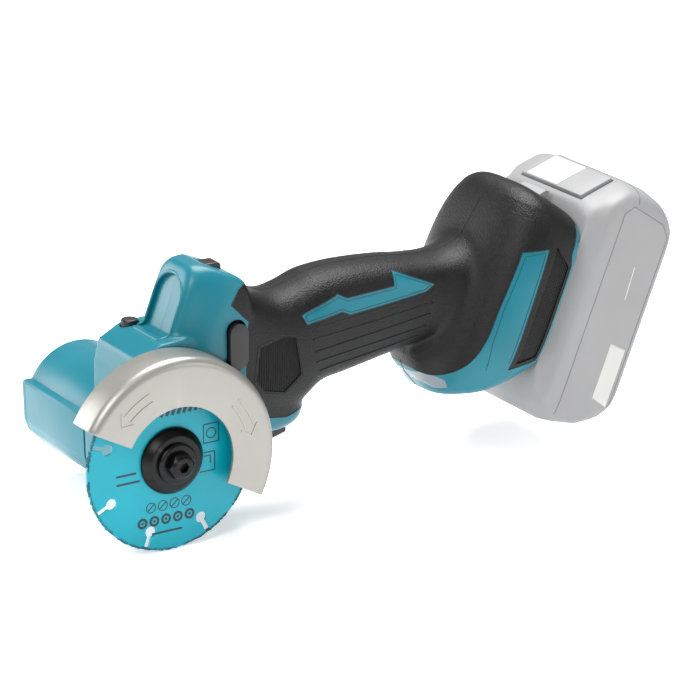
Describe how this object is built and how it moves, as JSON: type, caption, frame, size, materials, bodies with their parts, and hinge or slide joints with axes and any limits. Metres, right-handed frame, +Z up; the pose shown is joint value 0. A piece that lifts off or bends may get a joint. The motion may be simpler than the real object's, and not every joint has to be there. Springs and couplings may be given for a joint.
{
  "type": "cordless cut-off saw",
  "caption": "Cordless one-hand cut-off saw: a small guarded cutting wheel on a side motor head, a curved rubber grip and a slide-on battery.",
  "frame": {"origin": "middle of the bounding box at the level of the wheel's lowest point", "axes": "+X along the machine towards the battery, +Y from the cutting wheel towards the motor's end, +Z up"},
  "size_m": [0.2815, 0.1118, 0.1206],
  "materials": {
    "teal_plastic": "satin",
    "black_rubber": "textured",
    "black_plastic": "satin",
    "screw_steel": "satin",
    "gear_case_metal": "cast",
    "guard_metal": "satin",
    "wheel_cyan": "gloss",
    "black_steel": "satin",
    "bright_steel": "ground",
    "spring_steel": "bright",
    "core_steel": "laminated",
    "magnet": "plated",
    "copper": "enamelled",
    "board_green": "gloss",
    "lens_clear": "clear",
    "lamp_white": "gloss",
    "battery_grey": "satin",
    "cell_wrap": "gloss",
    "label_white": "gloss"
  },
  "bodies": {
    "housing": {"head_shell_left": "teal_plastic", "head_shell_right": "teal_plastic", "grip_shell_left": "black_rubber", "grip_shell_right": "black_rubber", "foot_band_left": "teal_plastic", "foot_band_right": "teal_plastic", "grip_inlay_left": "teal_plastic", "grip_inlay_right": "teal_plastic", "motor_housing": "teal_plastic", "motor_end_cap": "teal_plastic", "cap_screws": "screw_steel", "case_screws": "screw_steel", "gear_housing": "gear_case_metal", "gear_cover_plate": "teal_plastic", "cover_screws": "screw_steel", "motor_bracket": "black_plastic", "front_bearing": "bright_steel", "rear_bearing": "bright_steel", "motor_front_bearing": "bright_steel", "motor_rear_bearing": "bright_steel", "stator_core": "core_steel", "stator_coils": "copper", "sensor_board": "board_green", "switch_body": "black_plastic", "trigger_spring": "spring_steel", "lock_off_spring": "spring_steel", "shaft_lock_spring": "spring_steel", "lever_bezel": "black_plastic", "board_tray": "black_plastic", "control_board": "board_green", "terminal_block": "black_plastic", "terminal_blades": "copper", "lamp_lens": "lens_clear", "led_lamp": "lamp_white"},
    "arbor": {"spindle": "bright_steel", "spur_gear": "bright_steel", "inner_flange": "black_steel", "cutting_wheel": "wheel_cyan", "outer_flange": "black_steel", "clamp_washer": "black_steel", "clamp_bolt": "black_steel"},
    "rotor": {"rotor_shaft": "bright_steel", "rotor_core": "core_steel", "rotor_magnets": "magnet", "drive_pinion": "bright_steel", "cooling_fan": "black_plastic"},
    "guard": {"wheel_guard": "guard_metal", "guard_clamp_screw": "screw_steel", "guard_clamp_nut": "screw_steel"},
    "trigger": {"trigger": "black_plastic"},
    "lock_off": {"lock_off_button": "black_plastic"},
    "direction_lever": {"direction_lever": "black_plastic"},
    "shaft_lock": {"shaft_lock_button": "black_plastic"},
    "battery": {"battery_case_front": "battery_grey", "battery_case_rear": "battery_grey", "battery_cells": "cell_wrap", "battery_board": "board_green", "battery_latch": "battery_grey"},
    "battery_button": {"battery_release_button": "label_white"}
  },
  "joints": [
    {"name": "spindle_spin", "type": "hinge", "parent": "housing", "child": "arbor", "pos_m": [-0.09985, -0.0447, 0.038], "axis": [0, 1, 0], "continuous": true},
    {"name": "rotor_spin", "type": "hinge", "parent": "housing", "child": "rotor", "pos_m": [-0.0889, 0.0153, 0.0331], "axis": [0, 1, 0], "continuous": true},
    {"name": "guard_turn", "type": "hinge", "parent": "housing", "child": "guard", "pos_m": [-0.09985, -0.0447, 0.038], "axis": [0, 1, 0], "range_deg": [-45, 30]},
    {"name": "trigger_pull", "type": "slide", "parent": "housing", "child": "trigger", "axis": [0, 0, 1], "range_m": [0, 0.003], "stiffness_N_per_m": 600, "springref_m": -0.004, "deforming": ["trigger_spring"]},
    {"name": "lock_off_press", "type": "slide", "parent": "housing", "child": "lock_off", "axis": [0, 0, -1], "range_m": [0, 0.0025], "stiffness_N_per_m": 400, "springref_m": -0.003, "deforming": ["lock_off_spring"]},
    {"name": "direction_shift", "type": "slide", "parent": "housing", "child": "direction_lever", "axis": [0, 1, 0], "range_m": [-0.0018, 0.0018]},
    {"name": "shaft_lock_press", "type": "slide", "parent": "housing", "child": "shaft_lock", "axis": [0, 0, -1], "range_m": [0, 0.002], "stiffness_N_per_m": 500, "springref_m": -0.003, "deforming": ["shaft_lock_spring"]},
    {"name": "battery_slide", "type": "slide", "parent": "housing", "child": "battery", "axis": [0.3795, 0, 0.9252], "range_m": [0, 0.115]},
    {"name": "release_press", "type": "slide", "parent": "battery", "child": "battery_button", "axis": [0.3069, 0, -0.9517], "range_m": [0, 0.0016], "stiffness_N_per_m": 500, "springref_m": -0.002}
  ],
  "couplings": [
    {"joint": "rotor_spin", "follows": "spindle_spin", "ratio": -1.5}
  ]
}
